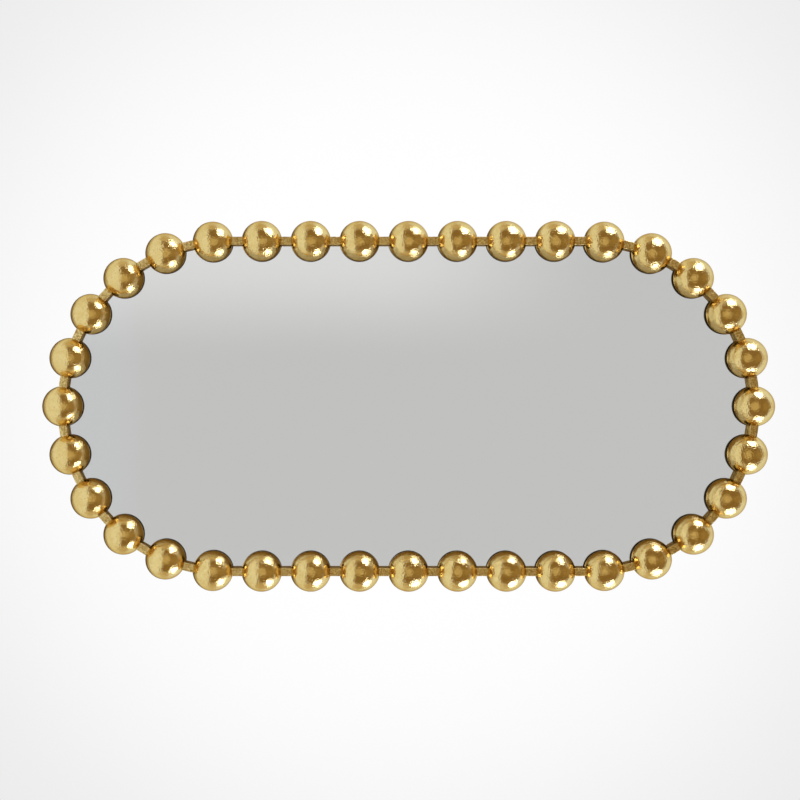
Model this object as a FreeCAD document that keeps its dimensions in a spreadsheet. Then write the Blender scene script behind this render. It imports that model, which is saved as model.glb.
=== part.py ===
import FreeCAD, Part
import Sketcher
import math
import os
import re

# Beaded wall mirror, in millimetres.
# +Z is up, +X is to the right of someone who faces the mirror, and the glass faces -Y.
# The origin is on the wall behind the middle of the glass, so a depth from the wall is -Y.
# A square steel bar, bent to a pill shape, lies on the front of the glass. Hollow half-round
# beads straddle the bar all the way round. Behind the glass come tape, a board and the hangers.

# Every size that can be chosen by itself, with what it is.
SIZES = [
    ("half_straight", 268, "half the length of each straight side of the frame"),
    ("bend_radius", 245, "radius of each bow, to the middle of the bar"),
    ("bar_width", 12, "width of the square bar, seen from the front"),
    ("bar_depth", 12, "depth of the bar, front to back"),
    ("bar_wall", 1.5, "wall of the bar's square tube"),
    ("bead_count", 36, "beads round the frame"),
    ("lug_step", 3, "beads from one retaining lug to the next"),
    ("bead_radius", 30, "outer radius of a bead"),
    ("bead_wall", 1.2, "sheet that a bead is pressed from"),
    ("bead_skirt", 3, "how far a bead's rim lies behind its widest ring"),
    ("weld_gap", 0.1, "play that a weld fills"),
    ("pin_reach", 12, "how far a splice pin goes into each tube"),
    ("pin_gap", 0.5, "play between a splice pin and the tube's bore"),
    ("glass_thickness", 4, "thickness of the mirror glass"),
    ("glass_inset", 2.5, "how far the glass's edge lies inside the bar's outer side"),
    ("tape_thickness", 1, "thickness of the foam tape"),
    ("tape_width", 19, "width of a tape strip"),
    ("tape_inset", 55, "how far a tape strip ends inside the bar's straight sides"),
    ("tape_outset", 62, "how far the outermost strips lie past the straight sides' ends"),
    ("tape_count", 7, "tape strips side by side"),
    ("board_thickness", 9, "thickness of the backing board"),
    ("board_inset", 2.5, "how far the board's edge lies inside the bar's outer side"),
    ("bumper_height", 8, "distance that the bumpers keep the board off the wall"),
    ("bumper_radius", 10, "radius of a bumper where it is stuck to the board"),
    ("bumper_taper", 1.5, "how much narrower a bumper is at the wall"),
    ("bumper_outset", 22, "how far the bumpers lie past the straight sides' ends"),
    ("bumper_inset", 75, "distance of the bumpers from the line of the straight sides"),
    ("lug_thickness", 1.5, "strip that a retaining lug is bent from"),
    ("lug_width", 16, "width of a lug along the bar"),
    ("lug_weld", 8, "length of the lug that is welded to the bar's outer side"),
    ("lug_bend", 1, "inner radius of the lug's bend"),
    ("lug_reach", 18, "length of the lug's tab across the board"),
    ("lug_hole_inset", 6, "distance of the lug's hole from the end of its tab"),
    ("screw_radius", 1.75, "radius of a screw's shank"),
    ("screw_length", 9, "length of a screw under its head"),
    ("screw_tip", 1.5, "length of a screw's pointed end"),
    ("screw_tip_radius", 0.4, "radius at the point of a screw"),
    ("head_radius", 3.5, "radius of a screw's round head"),
    ("head_height", 2.2, "height of a screw's head"),
    ("drive_width", 0.9, "width of each slot of the cross in a screw's head"),
    ("drive_length", 3.6, "length of each slot of the cross"),
    ("drive_depth", 1.1, "depth of the cross"),
    ("screw_play", 0.2, "play round a shank in a plate's hole"),
    ("pilot_play", 0.05, "play round a shank in the board's hole"),
    ("hanger_inset", 18, "distance of a hanger from the nearer end of the straight sides"),
    ("hanger_drop", 95, "distance of a hanger's hinge below the top straight side"),
    ("strap_thickness", 1.5, "sheet that a hanger strap is made from"),
    ("strap_width", 16, "width of a hanger strap"),
    ("strap_hole_drop", 29.5, "distance of a strap's first hole below its hinge"),
    ("strap_hole_pitch", 13, "distance between a strap's two holes"),
    ("wire_radius", 2, "radius of the wire of a hanging ring"),
    ("wire_gap", 0.3, "play between a ring's wire and the strap's eye"),
    ("ring_width", 26, "width of a ring between the middles of its wire"),
    ("ring_corner", 4, "radius of a ring's two corners, to the middle of the wire"),
    ("ring_leg", 5, "straight length of each side of a ring"),
    ("cut_overrun", 1, "how far a cutting tool passes the face that it cuts"),
]

# Rules that several pieces share, written in the names above.
PATH = "(4 * half_straight + 2 * pi * bend_radius)"
BOARD_BACK = "bumper_height"
GLASS_BACK = f"({BOARD_BACK} + board_thickness + tape_thickness)"
GLASS_FRONT = f"({GLASS_BACK} + glass_thickness)"
BAR_OUTSIDE = "(bend_radius + bar_width / 2)"
BAR_INSIDE = "(bend_radius - bar_width / 2)"
TAPE_PITCH = "(2 * (half_straight + tape_outset) / (tape_count - 1))"
BUMPER_ACROSS = "(half_straight + bumper_outset)"
BUMPER_RISE = "(bend_radius - bumper_inset)"
LUG_INSIDE = "(bar_width / 2 + weld_gap)"
LUG_BACK = f"({BOARD_BACK} - lug_thickness)"
LUG_HOLE = f"({LUG_INSIDE} + lug_thickness - lug_reach + lug_hole_inset)"
HANGER_ACROSS = "(half_straight - hanger_inset)"
HANGER_RISE = "(bend_radius - hanger_drop)"
STRAP_BACK = f"({BOARD_BACK} - strap_thickness)"
STRAP_DROP = "(strap_hole_drop + strap_hole_pitch)"
EYE_RADIUS = "(wire_radius + wire_gap + strap_thickness)"
HINGE_DEPTH = f"({BOARD_BACK} - {EYE_RADIUS})"
SCREW_SHANK = "(screw_length - screw_tip)"
HEAD_BALL = "((head_radius ^ 2 + head_height ^ 2) / (2 * head_height))"

RIGHT = FreeCAD.Vector(1, 0, 0)
WALLWARD = FreeCAD.Vector(0, 1, 0)
UP = FreeCAD.Vector(0, 0, 1)
TO_FRONT = FreeCAD.Rotation(RIGHT, 90)  # local Z points away from the wall, and local Y up
TO_WALL = FreeCAD.Rotation(RIGHT, -90)  # local Z points at the wall
TO_RIGHT = FreeCAD.Rotation(WALLWARD, UP, RIGHT, "ZXY")  # local X points at the wall, Y up and Z right
NO_TURN = FreeCAD.Rotation()
HALF_TURN = FreeCAD.Rotation(WALLWARD, 180)

doc = FreeCAD.newDocument("beaded_wall_mirror")
sheet = doc.addObject("Spreadsheet::Sheet", "sizes")
for row, (alias, number, meaning) in enumerate(SIZES, start=1):
    sheet.set(f"A{row}", alias)
    sheet.set(f"B{row}", str(number))
    sheet.set(f"C{row}", meaning)
    sheet.setAlias(f"B{row}", alias)
doc.recompute()

parts = {}


def in_sheet(rule):
    """Turn the names in a rule, which all hold an underscore, into references to the sheet."""
    return re.sub(r"[a-z]+(?:_[a-z]+)+", lambda word: "<<sizes>>." + word.group(0), rule)


def bind(item, **rules):
    """Bind properties to rules. Two underscores in a property's name stand for a dot."""
    for name, rule in rules.items():
        item.setExpression(name.replace("__", "."), in_sheet(rule))
    return item


def place(item, x="0", depth="0", z="0", rotation=None):
    """Put an item x to the right, depth out from the wall and z up."""
    if rotation is not None:
        item.Placement = FreeCAD.Placement(FreeCAD.Vector(), rotation)
    return bind(item, Placement__Base__x=x, Placement__Base__y=f"-({depth})", Placement__Base__z=z)


def primitive(kind, name, **rules):
    """Add a Part primitive with its sizes bound to rules."""
    return bind(doc.addObject("Part::" + kind, name), **rules)


def fuse(name, pieces):
    item = doc.addObject("Part::MultiFuse", name)
    item.Shapes = pieces
    item.Refine = True
    return item


def cut(name, base, tool):
    item = doc.addObject("Part::Cut", name)
    item.Base = base
    item.Tool = tool
    return item


def group(name, pieces):
    item = doc.addObject("Part::Compound", name)
    item.Links = pieces
    return item


def copy_of(master, name, x="0", z="0", turn=None):
    """Add a linked copy, turned clockwise about the origin's depth axis and then moved x and z."""
    link = doc.addObject("App::Link", name)
    link.LinkedObject = master
    link.LinkTransform = True
    if turn is not None:
        # The half turn sets the axis, and the rule then sets the angle about it.
        link.Placement = FreeCAD.Placement(FreeCAD.Vector(), HALF_TURN)
        bind(link, Placement__Rotation__Angle=turn)
    return bind(link, Placement__Base__x=x, Placement__Base__z=z)


def part(name, item):
    """Keep an item as one of the mirror's own pieces."""
    item.Label = name
    parts[name] = item
    return item


def path_spot(index):
    """Give the rules for x, z and outward turn of a bead's place on the bar's centre line.

    The first bead is above the middle and the rest follow clockwise, as seen from the front,
    at equal steps. On a straight the turn is 0 or 180 degrees, and on a bow it is the angle.
    """
    half_straight = sheet.get("half_straight")
    bow = math.pi * sheet.get("bend_radius")
    along = index * (4 * half_straight + 2 * bow) / sheet.get("bead_count")
    rule = f"({index} * {PATH} / bead_count)"
    if along <= half_straight:
        return rule, "bend_radius", "0"
    if along <= half_straight + bow:
        turn = f"(({rule} - half_straight) / bend_radius * 180 / pi)"
        return f"half_straight + bend_radius * sin({turn})", f"bend_radius * cos({turn})", turn
    if along <= 3 * half_straight + bow:
        return f"2 * half_straight + pi * bend_radius - {rule}", "-bend_radius", "180"
    if along <= 3 * half_straight + 2 * bow:
        turn = f"(({rule} - 3 * half_straight) / bend_radius * 180 / pi)"
        return f"bend_radius * sin({turn}) - half_straight", f"bend_radius * cos({turn})", turn
    return f"{rule} - {PATH}", "bend_radius", "0"


def new_sketch(body, name, role, flipped=False):
    """Add a sketch on one of the body's own origin planes."""
    sketch = body.newObject("Sketcher::SketchObject", name)
    plane = next(item for item in body.Origin.OriginFeatures if item.Role == role)
    sketch.AttachmentSupport = [(plane, "")]
    sketch.MapMode = "FlatFace"
    sketch.MapReversed = flipped
    return sketch


def constrain(sketch, rule, kind, *target):
    """Add a constraint that has a size, and bind the size to a rule."""
    number = sketch.addConstraint(Sketcher.Constraint(kind, *target))
    sketch.setExpression(f"Constraints[{number}]", in_sheet(rule))


def draw_pill(sketch, reach):
    """Draw a pill, two straight sides joined by half circles, whose half height is the rule reach."""
    side = sheet.get("half_straight")
    radius = sheet.get("bend_radius")
    centres = [FreeCAD.Vector(side, 0, 0), FreeCAD.Vector(-side, 0, 0)]
    rise = FreeCAD.Vector(0, radius, 0)
    top = sketch.addGeometry(Part.LineSegment(centres[1] + rise, centres[0] + rise))
    bottom = sketch.addGeometry(Part.LineSegment(centres[0] - rise, centres[1] - rise))
    right, left = (
        sketch.addGeometry(Part.ArcOfCircle(Part.Circle(centre, UP, radius), start, start + math.pi))
        for centre, start in zip(centres, (-math.pi / 2, math.pi / 2))
    )
    for joint in ((top, 2, right, 2), (right, 1, bottom, 1), (bottom, 2, left, 2), (left, 1, top, 1)):
        sketch.addConstraint(Sketcher.Constraint("Tangent", *joint))
    sketch.addConstraint(Sketcher.Constraint("Horizontal", top))
    for bow in (right, left):
        sketch.addConstraint(Sketcher.Constraint("PointOnObject", bow, 3, -1))
    constrain(sketch, "half_straight", "DistanceX", -1, 1, right, 3, side)
    constrain(sketch, "half_straight", "DistanceX", left, 3, -1, 1, side)
    constrain(sketch, reach, "Radius", right, radius)


def pill_plate(name, reach, back, thickness):
    """Pad a pill-shaped plate whose back face lies that far from the wall."""
    body = doc.addObject("PartDesign::Body", name)
    sketch = new_sketch(body, name + "_outline", "XZ_Plane")
    bind(sketch, AttachmentOffset__Base__z=back)
    draw_pill(sketch, reach)
    pad = body.newObject("PartDesign::Pad", name + "_pad")
    pad.Profile = sketch
    bind(pad, Length=thickness)
    return body


def draw_bar_square(sketch, inset):
    """Draw the bar's square section, inset from its outer faces. X is the depth and Y is up."""
    low = sheet.get("bend_radius")
    high = low + sheet.get("bar_width")
    near = sheet.get("bar_depth")
    far = 2 * near
    corners = [FreeCAD.Vector(*point, 0) for point in ((near, low), (far, low), (far, high), (near, high))]
    sides = [
        sketch.addGeometry(Part.LineSegment(corners[number], corners[(number + 1) % len(corners)]))
        for number in range(len(corners))
    ]
    for number, side in enumerate(sides):
        following = sides[(number + 1) % len(sides)]
        sketch.addConstraint(Sketcher.Constraint("Coincident", side, 2, following, 1))
        sketch.addConstraint(Sketcher.Constraint("Vertical" if number % 2 else "Horizontal", side))
    floor, front = sides[:2]
    constrain(sketch, f"{GLASS_FRONT} + {inset}", "DistanceX", -1, 1, floor, 1, near)
    constrain(sketch, f"bar_depth - 2 * ({inset})", "DistanceX", floor, 1, floor, 2, near)
    constrain(sketch, f"{BAR_INSIDE} + {inset}", "DistanceY", -1, 1, floor, 1, low)
    constrain(sketch, f"bar_width - 2 * ({inset})", "DistanceY", front, 1, front, 2, near)


def tube_section(body, name):
    sketch = new_sketch(body, name + "_section", "YZ_Plane", flipped=True)
    draw_bar_square(sketch, "0")
    draw_bar_square(sketch, "bar_wall")
    return sketch


def straight_bar(name, rotation):
    """Pad the square tube along the top of the frame, and turn it to its own side."""
    body = doc.addObject("PartDesign::Body", name)
    section = tube_section(body, name)
    bind(section, AttachmentOffset__Base__z="-half_straight")
    pad = body.newObject("PartDesign::Pad", name + "_pad")
    pad.Profile = section
    bind(pad, Length="2 * half_straight")
    body.Placement = FreeCAD.Placement(FreeCAD.Vector(), rotation)
    return body


def bow_bar(name, side, rotation):
    """Sweep the square tube through the half circle of one end, about the bow's own centre."""
    body = doc.addObject("PartDesign::Body", name)
    section = tube_section(body, name)
    bend = body.newObject("PartDesign::Revolution", name + "_bend")
    bend.Profile = section
    bend.ReferenceAxis = (section, ["H_Axis"])
    bend.Angle = 180
    body.Placement = FreeCAD.Placement(FreeCAD.Vector(), rotation)
    return bind(body, Placement__Base__x=side)


def bar_channel():
    """Make the tool that lets the bar through the beads: the whole frame with a little play."""
    depth = "cut_overrun + bar_depth + weld_gap"
    back = f"{GLASS_FRONT} - cut_overrun"
    outside = pill_plate("channel_outside", f"{BAR_OUTSIDE} + weld_gap", back, depth)
    inside = pill_plate("channel_inside", f"{BAR_INSIDE} - weld_gap", back, depth)
    return cut("bar_channel", outside, inside)


def bead_shell():
    """Make a hollow ball, cut off flat behind its widest ring, that faces the front."""
    outer = primitive("Sphere", "bead_outer", Radius="bead_radius", Angle1="-asin(bead_skirt / bead_radius)")
    inner = primitive("Sphere", "bead_inner", Radius="bead_radius - bead_wall")
    shell = cut("bead_shell", outer, inner)
    return place(shell, depth=f"{GLASS_FRONT} + bead_skirt", rotation=TO_FRONT)


def screw_hole(name, back, thickness):
    """Make the tool for a screw's hole through a plate, from its back face to the front."""
    hole = primitive(
        "Cylinder", name, Radius="screw_radius + screw_play", Height=f"{thickness} + 2 * cut_overrun")
    return place(hole, depth=f"{back} - cut_overrun", rotation=TO_FRONT)


def retaining_lug():
    """Bend a strip: a leg on the bar's outer side, and a tab across the board's back.

    The lug is made at the top of a bow whose centre line passes through the origin.
    """
    middle = "-lug_width / 2"
    bend = "(lug_bend + lug_thickness)"
    leg = primitive(
        "Box", "lug_leg", Length="lug_width", Height="lug_thickness",
        Width=f"{GLASS_FRONT} + lug_weld - {LUG_BACK} - {bend}")
    place(leg, x=middle, depth=f"{GLASS_FRONT} + lug_weld", z=LUG_INSIDE)
    tab = primitive(
        "Box", "lug_tab", Length="lug_width", Width="lug_thickness", Height=f"lug_reach - {bend}")
    place(tab, x=middle, depth=BOARD_BACK, z=f"{LUG_INSIDE} + lug_thickness - lug_reach")
    corner = primitive("Cylinder", "lug_corner", Radius=bend, Height="lug_width", Angle="90")
    hollow = primitive(
        "Cylinder", "lug_corner_inside", Radius="lug_bend", Height="lug_width + 2 * cut_overrun")
    for item, start in ((corner, middle), (hollow, f"{middle} - cut_overrun")):
        place(item, x=start, depth=f"{LUG_BACK} + {bend}", z=f"{LUG_INSIDE} - lug_bend", rotation=TO_RIGHT)
    hole = screw_hole("lug_hole", LUG_BACK, "lug_thickness")
    place(hole, depth=f"{LUG_BACK} - cut_overrun", z=LUG_HOLE)
    strip = fuse("lug_strip", [leg, tab, cut("lug_bend", corner, hollow)])
    return cut("retaining_lug", strip, hole)


def round_head_screw():
    """Make a wood screw that points to the front, with the underside of its head at the origin."""
    shank = primitive("Cylinder", "screw_shank", Radius="screw_radius", Height=SCREW_SHANK)
    shank.Placement.Rotation = TO_FRONT
    tip = primitive(
        "Cone", "screw_tip", Radius1="screw_radius", Radius2="screw_tip_radius", Height="screw_tip")
    place(tip, depth=SCREW_SHANK, rotation=TO_FRONT)
    head = primitive(
        "Sphere", "screw_head", Radius=HEAD_BALL, Angle1=f"asin(({HEAD_BALL} - head_height) / {HEAD_BALL})")
    place(head, depth=f"{HEAD_BALL} - head_height", rotation=TO_WALL)
    cross = []
    for name, across, up in (
        ("drive_wide", "drive_length", "drive_width"),
        ("drive_tall", "drive_width", "drive_length"),
    ):
        slot = primitive("Box", name, Length=across, Height=up, Width="drive_depth + cut_overrun")
        cross.append(place(slot, x=f"-{across} / 2", depth="drive_depth - head_height", z=f"-{up} / 2"))
    return cut("screw", fuse("screw_blank", [shank, tip, head]), fuse("drive_cross", cross))


def pilot_hole(name, back):
    """Make the tool for a screw's hole in the board: it is as deep as the screw whose head is at back."""
    hole = primitive("Cylinder", name, Radius="screw_radius + pilot_play", Height="screw_length + pilot_play")
    return place(hole, depth=back, rotation=TO_FRONT)


def hanger_strap():
    """Make a strap with a rolled eye at its top, two holes below it and a round lower end.

    The hinge is along X through the origin's height.
    """
    middle = "-strap_width / 2"
    plate = primitive("Box", "strap_plate", Length="strap_width", Width="strap_thickness", Height=STRAP_DROP)
    place(plate, x=middle, depth=BOARD_BACK, z=f"-{STRAP_DROP}")
    end = primitive("Cylinder", "strap_end", Radius="strap_width / 2", Height="strap_thickness")
    place(end, depth=STRAP_BACK, z=f"-{STRAP_DROP}", rotation=TO_FRONT)
    eye = primitive("Cylinder", "strap_eye", Radius=EYE_RADIUS, Height="strap_width")
    place(eye, x=middle, depth=HINGE_DEPTH, rotation=TO_RIGHT)
    bore = primitive(
        "Cylinder", "strap_bore", Radius="wire_radius + wire_gap", Height="strap_width + 2 * cut_overrun")
    place(bore, x=f"{middle} - cut_overrun", depth=HINGE_DEPTH, rotation=TO_RIGHT)
    tools = [bore]
    for number, drop in enumerate(("strap_hole_drop", STRAP_DROP), start=1):
        hole = screw_hole(f"strap_hole_{number}", STRAP_BACK, "strap_thickness")
        tools.append(place(hole, depth=f"{STRAP_BACK} - cut_overrun", z=f"-{drop}"))
    return cut("hanger_strap", fuse("strap_blank", [plate, end, eye]), fuse("strap_tools", tools))


def hanging_ring():
    """Bend wire to a D: a straight side in the hinge, two small corners, two legs and a half circle."""
    half_bar = "(ring_width / 2 - ring_corner)"
    bar = primitive("Cylinder", "ring_bar", Radius="wire_radius", Height=f"2 * {half_bar}")
    place(bar, x=f"-{half_bar}", depth=HINGE_DEPTH, rotation=TO_RIGHT)
    wires = [bar]
    for name, side, first_angle in (("right", "1", 0), ("left", "-1", 90)):
        corner = primitive(
            "Torus", f"ring_corner_{name}", Radius1="ring_corner", Radius2="wire_radius", Angle3="90")
        facing = TO_FRONT * FreeCAD.Rotation(UP, first_angle)
        place(corner, x=f"{side} * {half_bar}", depth=HINGE_DEPTH, z="-ring_corner", rotation=facing)
        leg = primitive("Cylinder", f"ring_leg_{name}", Radius="wire_radius", Height="ring_leg")
        place(leg, x=f"{side} * ring_width / 2", depth=HINGE_DEPTH, z="-(ring_corner + ring_leg)")
        wires += [corner, leg]
    loop = primitive("Torus", "ring_loop", Radius1="ring_width / 2", Radius2="wire_radius", Angle3="180")
    facing = TO_FRONT * FreeCAD.Rotation(UP, 180)
    place(loop, depth=HINGE_DEPTH, z="-(ring_corner + ring_leg)", rotation=facing)
    return fuse("hanging_ring", wires + [loop])


# The frame: four lengths of square tube, and the pins that join them inside.
part("bar_top", straight_bar("bar_top", NO_TURN))
part("bar_bottom", straight_bar("bar_bottom", HALF_TURN))
part("bar_left_bow", bow_bar("bar_left_bow", "-half_straight", NO_TURN))
part("bar_right_bow", bow_bar("bar_right_bow", "half_straight", HALF_TURN))

pin = primitive(
    "Box", "splice_pin", Length="2 * pin_reach",
    Width="bar_depth - 2 * (bar_wall + pin_gap)", Height="bar_width - 2 * (bar_wall + pin_gap)")
place(
    pin, x="-pin_reach", depth=f"{GLASS_FRONT} + bar_depth - bar_wall - pin_gap",
    z="bar_wall + pin_gap - bar_width / 2")
pins = [
    copy_of(pin, f"splice_pin_{side}_{level}", x=f"{across} * half_straight", z=f"{up} * bend_radius")
    for side, across in (("left", "-1"), ("right", "1"))
    for level, up in (("top", "1"), ("bottom", "-1"))
]
part("splice_pins", group("splice_pins", pins))

# The beads, clockwise from the one above the middle. Each is cut out where the bar passes through it.
channel = bar_channel()
shell = bead_shell()
bead_count = round(sheet.get("bead_count"))
spots = [path_spot(index) for index in range(bead_count)]
for number, (x, z, turn) in enumerate(spots, start=1):
    name = f"bead_{number:02}"
    part(name, cut(name, copy_of(shell, name + "_shell", x=x, z=z), channel))

# The glass and its tape.
glass = pill_plate("mirror_glass", f"{BAR_OUTSIDE} - glass_inset", GLASS_BACK, "glass_thickness")
part("mirror_glass", glass)
strip = primitive(
    "Box", "tape_strip", Length="tape_width", Width="tape_thickness", Height="2 * (bend_radius - tape_inset)")
place(strip, x="-tape_width / 2", depth=GLASS_BACK, z="tape_inset - bend_radius")
strips = [
    copy_of(strip, f"tape_strip_{number + 1}", x=f"({number} - (tape_count - 1) / 2) * {TAPE_PITCH}")
    for number in range(round(sheet.get("tape_count")))
]
part("mounting_tape", group("mounting_tape", strips))

# The lugs sit inside every few beads, and their screws hold the board.
screw = round_head_screw()
lug = retaining_lug()
lug_screw = copy_of(screw, "lug_screw", z=LUG_HOLE)
bind(lug_screw, Placement__Base__y=f"-{LUG_BACK}")
lug_pilot = copy_of(pilot_hole("lug_pilot_tool", LUG_BACK), "lug_pilot", z=LUG_HOLE)
lugs, lug_screws, pilots = [], [], []
for number, (x, z, turn) in enumerate(spots[::round(sheet.get("lug_step"))], start=1):
    lugs.append(copy_of(lug, f"lug_{number}", x=x, z=z, turn=turn))
    lug_screws.append(copy_of(lug_screw, f"lug_screw_{number}", x=x, z=z, turn=turn))
    pilots.append(copy_of(lug_pilot, f"lug_pilot_{number}", x=x, z=z, turn=turn))
part("retaining_lugs", group("retaining_lugs", lugs))
part("lug_screws", group("lug_screws", lug_screws))

# Two hangers, each a strap with a ring that swings in it.
strap = hanger_strap()
ring = hanging_ring()
hanger_screw = copy_of(screw, "hanger_screw")
bind(hanger_screw, Placement__Base__y=f"-{STRAP_BACK}")
hanger_pilot = pilot_hole("hanger_pilot", STRAP_BACK)
hanger_screws = []
for side, across in (("left", "-" + HANGER_ACROSS), ("right", HANGER_ACROSS)):
    part(f"hanger_strap_{side}", copy_of(strap, f"hanger_strap_{side}", x=across, z=HANGER_RISE))
    part(f"hanging_ring_{side}", copy_of(ring, f"hanging_ring_{side}", x=across, z=HANGER_RISE))
    for level, drop in (("upper", "strap_hole_drop"), ("lower", STRAP_DROP)):
        spot = dict(x=across, z=f"{HANGER_RISE} - {drop}")
        hanger_screws.append(copy_of(hanger_screw, f"hanger_screw_{side}_{level}", **spot))
        pilots.append(copy_of(hanger_pilot, f"hanger_pilot_{side}_{level}", **spot))
part("hanger_screws", group("hanger_screws", hanger_screws))

# The board, with a hole for every screw, and the bumpers that keep it off the wall.
blank = pill_plate("board_blank", f"{BAR_OUTSIDE} - board_inset", BOARD_BACK, "board_thickness")
part("backing_board", cut("backing_board", blank, group("board_pilots", pilots)))
bumper = primitive(
    "Cone", "bumper", Radius1="bumper_radius - bumper_taper", Radius2="bumper_radius", Height="bumper_height")
bumper.Placement.Rotation = TO_FRONT
for side, across in (("left", "-" + BUMPER_ACROSS), ("right", BUMPER_ACROSS)):
    for level, up in (("top", BUMPER_RISE), ("bottom", "-" + BUMPER_RISE)):
        name = f"bumper_{side}_{level}"
        part(name, copy_of(bumper, name, x=across, z=up))

doc.recompute()


def check(item, shape=None):
    """Stop if an object failed, or if a piece's shape is empty or broken."""
    if "Invalid" in item.State or "Error" in item.State:
        raise RuntimeError(f"{item.Label} failed: {item.State}")
    if shape is not None and (shape.isNull() or not shape.isValid() or not shape.Solids):
        raise RuntimeError(f"{item.Label} has no sound solid")


for item in doc.Objects:
    check(item)
os.makedirs("parts", exist_ok=True)
for name, item in parts.items():
    shape = Part.getShape(item)
    check(item, shape)
    shape.exportStep(f"parts/{name}.step")
    print(f"{name}: {len(shape.Solids)} solids, {shape.Volume:.0f} cubic mm, {shape.BoundBox}")
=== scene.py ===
# %% [markdown]
# # A beaded wall mirror
# The frame of this mirror is a gilt square bar, bent to a pill shape, with hollow half-round beads
# set astride it. The beads are polished metal, so most of what the eye sees on them is the room: a
# white panel on the left, two strong lights on the right and a dim space in front. The lesson is
# therefore half about shapes and half about what those shapes reflect.
#
# The measured model comes first. It tells where everything is, and nothing here moves it.

# %% Load the measured model
import math

import bpy
import numpy as np
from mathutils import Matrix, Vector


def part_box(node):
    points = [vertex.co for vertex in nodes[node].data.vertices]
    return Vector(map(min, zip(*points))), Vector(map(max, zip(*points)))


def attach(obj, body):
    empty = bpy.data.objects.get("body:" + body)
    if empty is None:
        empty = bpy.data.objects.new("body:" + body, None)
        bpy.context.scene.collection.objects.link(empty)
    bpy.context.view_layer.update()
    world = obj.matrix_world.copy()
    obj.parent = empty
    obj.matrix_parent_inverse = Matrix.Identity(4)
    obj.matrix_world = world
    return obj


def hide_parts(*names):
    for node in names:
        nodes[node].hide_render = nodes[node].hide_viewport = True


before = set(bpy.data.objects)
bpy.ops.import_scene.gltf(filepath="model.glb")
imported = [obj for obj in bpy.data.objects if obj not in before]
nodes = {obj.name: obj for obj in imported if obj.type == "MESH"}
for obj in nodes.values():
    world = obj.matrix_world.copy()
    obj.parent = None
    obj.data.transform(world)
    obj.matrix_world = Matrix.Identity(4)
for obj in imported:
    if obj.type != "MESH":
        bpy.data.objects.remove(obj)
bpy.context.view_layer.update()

# %% [markdown]
# ## Reading the sizes
# Every size that the new pieces need can be read from the boxes of the measured pieces. Depths are
# counted out from the wall, so a depth is a Y with its sign turned round. Reading them is better
# than typing them, because the scene then follows the model when a size changes.

# %% Sizes of the frame, the beads and the glass
MM = 0.001

bar_low, bar_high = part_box("bar_top")
HALF_STRAIGHT = bar_high.x
BEND_RADIUS = (bar_low.z + bar_high.z) / 2
BAR_WIDTH = bar_high.z - bar_low.z
BAR_BACK, BAR_FRONT = -bar_high.y, -bar_low.y

bead_low, bead_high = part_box("bead_01")
BEAD_RADIUS = (bead_high.z - bead_low.z) / 2
BEAD_FRONT, BEAD_RIM = -bead_low.y, -bead_high.y
BEAD_MIDDLE = BEAD_FRONT - BEAD_RADIUS
BEAD_NAMES = sorted(name for name in nodes if name.startswith("bead_"))

glass_low, glass_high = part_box("mirror_glass")
GLASS_BACK, GLASS_FRONT = -glass_high.y, -glass_low.y
GLASS_LAP = glass_high.z - BEND_RADIUS

print("half straight %.3f, bend radius %.3f, beads %d" % (HALF_STRAIGHT, BEND_RADIUS, len(BEAD_NAMES)))

# %% [markdown]
# ## The camera
# The photograph was taken from about 2.3 metres with a lens that sees little more than the mirror.
# Beads on the right show more of their left sides than the other way round, and the bar's
# reflection in the glass slides further there too, so the lens stood a little left of the middle and
# a little above it, with its film parallel to the glass. Shift moves the picture without turning
# the camera, which is what keeps the pill's long sides level.

# %% Camera at the photograph's angle
SENSOR = 36 * MM
VIEW_WIDTH = 1.187
LENS_PLACE = (-0.095, -2.33, 0.030)
PLANE_OF_BEADS = -BEAD_MIDDLE
MIDDLE_SHARE = (0.0106, -0.0079)


def make_camera():
    """Aim along +Y. The shift is the camera's offset, plus the middle's place in the picture, in widths."""
    distance = PLANE_OF_BEADS - LENS_PLACE[1]
    data = bpy.data.cameras.new("camera")
    data.sensor_width = SENSOR / MM
    data.lens = SENSOR / MM * distance / VIEW_WIDTH
    data.shift_x = -LENS_PLACE[0] / VIEW_WIDTH - MIDDLE_SHARE[0]
    data.shift_y = -LENS_PLACE[2] / VIEW_WIDTH - MIDDLE_SHARE[1]
    data.clip_end = 100
    camera = bpy.data.objects.new("camera", data)
    camera.location = LENS_PLACE
    camera.rotation_euler = (math.radians(90), 0, 0)
    bpy.context.scene.collection.objects.link(camera)
    bpy.context.scene.camera = camera
    return camera


camera = make_camera()
print("lens %.1f mm, shift %.4f %.4f" % (camera.data.lens, camera.data.shift_x, camera.data.shift_y))

# %% [markdown]
# ## Small tools for node trees
# Materials here are built from nodes in code. Small tools keep that readable: one adds a node and
# fills its sockets with values or links, and the others make a sum, a blend of two colours, or a ramp
# with a soft start and stop, which is the shape of nearly every mask in this file.

# %% Node helpers
def add(tree, kind, settings=None, **sockets):
    """Add a node, set its own options, and give each named socket a value or a link from another node."""
    node = tree.nodes.new(kind)
    for name, value in (settings or {}).items():
        setattr(node, name, value)
    for name, value in sockets.items():
        socket = node.inputs[int(name[1:])] if name[1:].isdigit() else node.inputs[name.replace("_", " ")]
        if isinstance(value, bpy.types.NodeSocket):
            tree.links.new(value, socket)
        else:
            socket.default_value = value
    return node


def maths(tree, operation, *values):
    """Add a Math node and return its result."""
    sockets = {"i%d" % number: value for number, value in enumerate(values)}
    return add(tree, "ShaderNodeMath", {"operation": operation}, **sockets).outputs[0]


def blend_colours(tree, share, first, second):
    """Mix two colours by a share from 0, the first, to 1, the second."""
    sockets = {"i0": share, "i6": first, "i7": second}
    return add(tree, "ShaderNodeMix", {"data_type": "RGBA"}, **sockets).outputs[2]


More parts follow.
